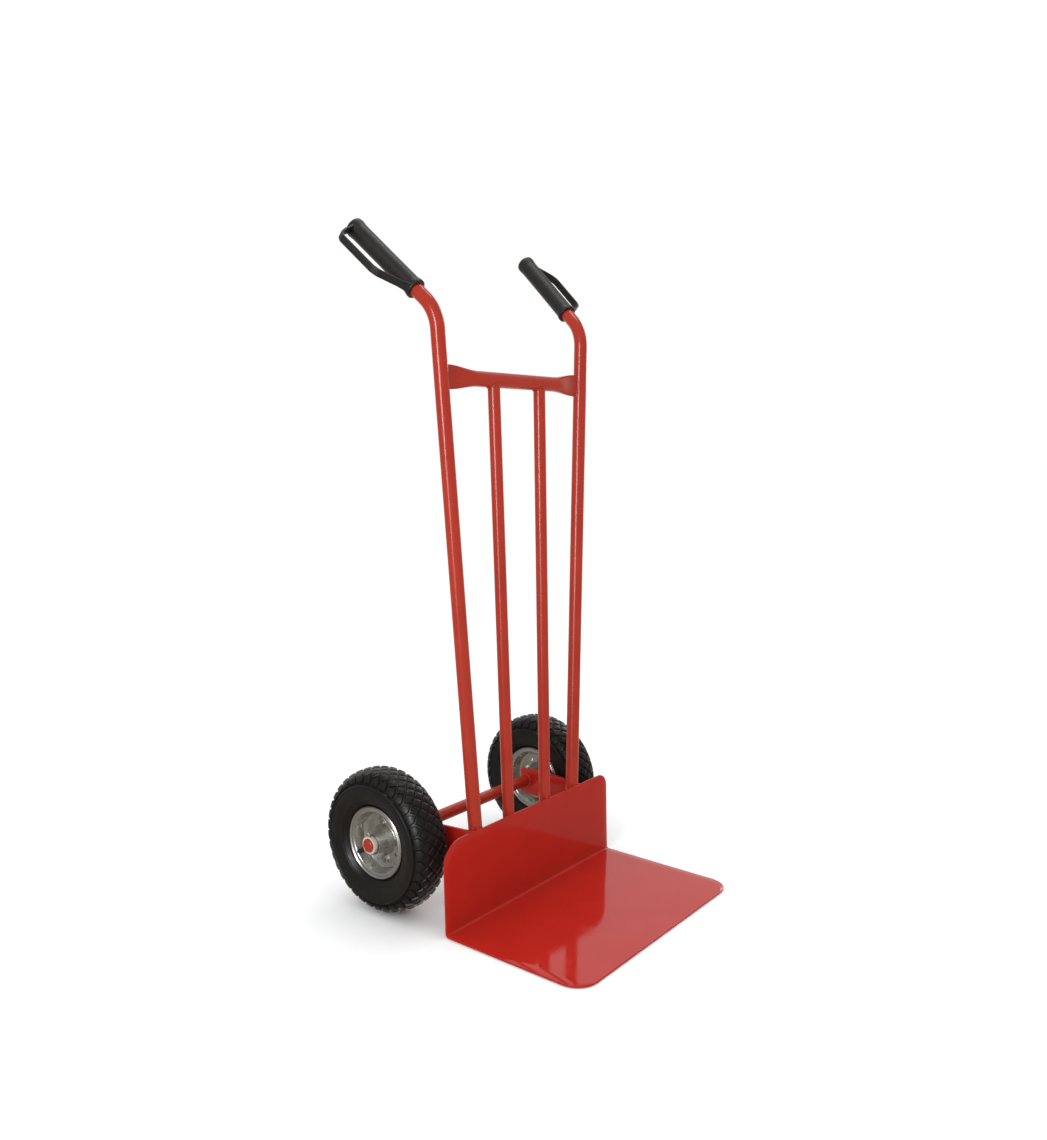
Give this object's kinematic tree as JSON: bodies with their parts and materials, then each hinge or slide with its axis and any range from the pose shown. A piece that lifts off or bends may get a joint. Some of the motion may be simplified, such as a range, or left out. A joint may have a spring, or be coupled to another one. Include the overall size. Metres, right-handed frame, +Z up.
{
  "type": "hand truck",
  "caption": "Upright sack barrow with a welded tube back, bent toe plate, fixed axle, pneumatic wheels and guarded grips.",
  "frame": {"origin": "on the floor, under the middle of the whole truck's length, halfway between the wheels", "axes": "+X along the axle towards the truck's right wheel, +Y from the toe plate towards the wheels and handles, +Z up"},
  "size_m": [0.5856, 0.5756, 1.2084],
  "materials": {
    "red_tube": "gloss red powder coat on steel tube",
    "red_sheet": "gloss red powder coat on steel sheet",
    "zinc": "bright zinc plate on pressed steel",
    "steel": "plain plated steel",
    "tyre": "matte black rubber with block tread",
    "butyl": "smooth black butyl rubber",
    "grip_plastic": "fine-grained black moulded plastic",
    "cap_plastic": "black moulded plastic"
  },
  "bodies": {
    "frame": {"toe_plate": "red_sheet", "crossbar": "red_tube", "axle": "red_tube", "left_upright": "red_tube", "left_inner_upright": "red_tube", "left_grip": "grip_plastic", "left_axle_bracket": "red_sheet", "left_inner_washer": "zinc", "left_axle_collar": "zinc", "left_split_pin": "steel", "right_upright": "red_tube", "right_inner_upright": "red_tube", "right_grip": "grip_plastic", "right_axle_bracket": "red_sheet", "right_inner_washer": "zinc", "right_axle_collar": "zinc", "right_split_pin": "steel"},
    "left_wheel": {"left_tyre": "tyre", "left_air_tube": "butyl", "left_outer_rim": "zinc", "left_inner_rim": "zinc", "left_hub_tube": "steel", "left_outer_bearing": "steel", "left_inner_bearing": "steel", "left_valve_stem": "steel", "left_valve_cap": "cap_plastic", "left_rim_bolt_1": "steel", "left_rim_bolt_2": "steel", "left_rim_bolt_3": "steel", "left_rim_bolt_4": "steel", "left_rim_nut_1": "steel", "left_rim_nut_2": "steel", "left_rim_nut_3": "steel", "left_rim_nut_4": "steel"},
    "right_wheel": {"right_tyre": "tyre", "right_air_tube": "butyl", "right_outer_rim": "zinc", "right_inner_rim": "zinc", "right_hub_tube": "steel", "right_outer_bearing": "steel", "right_inner_bearing": "steel", "right_valve_stem": "steel", "right_valve_cap": "cap_plastic", "right_rim_bolt_1": "steel", "right_rim_bolt_2": "steel", "right_rim_bolt_3": "steel", "right_rim_bolt_4": "steel", "right_rim_nut_1": "steel", "right_rim_nut_2": "steel", "right_rim_nut_3": "steel", "right_rim_nut_4": "steel"}
  },
  "joints": [
    {"name": "left_wheel_spin", "type": "hinge", "parent": "frame", "child": "left_wheel", "pos_m": [-0.226, 0.15775, 0.13], "axis": [1, 0, 0], "continuous": true},
    {"name": "right_wheel_spin", "type": "hinge", "parent": "frame", "child": "right_wheel", "pos_m": [0.226, 0.15775, 0.13], "axis": [1, 0, 0], "continuous": true}
  ]
}
